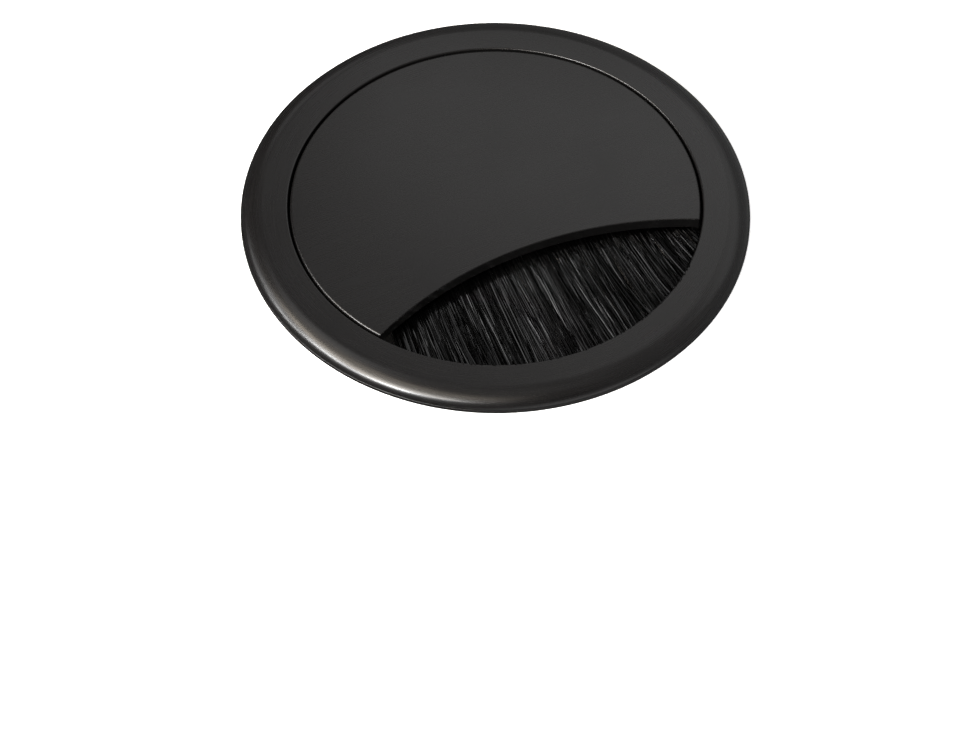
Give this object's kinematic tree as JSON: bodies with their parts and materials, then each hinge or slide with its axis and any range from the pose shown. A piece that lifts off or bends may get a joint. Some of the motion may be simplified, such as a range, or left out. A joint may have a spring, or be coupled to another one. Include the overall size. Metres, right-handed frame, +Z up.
{
  "type": "brush cable grommet",
  "caption": "Round black desk cable grommet: a crowned flange and sleeve, a flush lid with a crescent cut-out, and a strip brush that closes the crescent round the cables.",
  "frame": {"origin": "on the axis of the sleeve, in the plane of the flange's underside, which is the desk surface", "axes": "+Z up out of the desk along the sleeve's axis, -Y towards the open crescent, X along the strip brush"},
  "size_m": [0.095, 0.095, 0.02],
  "materials": {
    "black_metal": "satin black lacquer over fine brushing",
    "galvanised_steel": "galvanised sheet and wire",
    "black_nylon": "drawn nylon filament, slightly glossy",
    "screw_steel": "zinc plated"
  },
  "bodies": {
    "root": {"flange_ring": "black_metal", "lid": "black_metal", "brush_channel": "galvanised_steel", "brush_core_wire": "galvanised_steel", "bristles": "black_nylon", "brush_clamp_bar": "galvanised_steel", "clamp_screws": "screw_steel"}
  },
  "joints": []
}
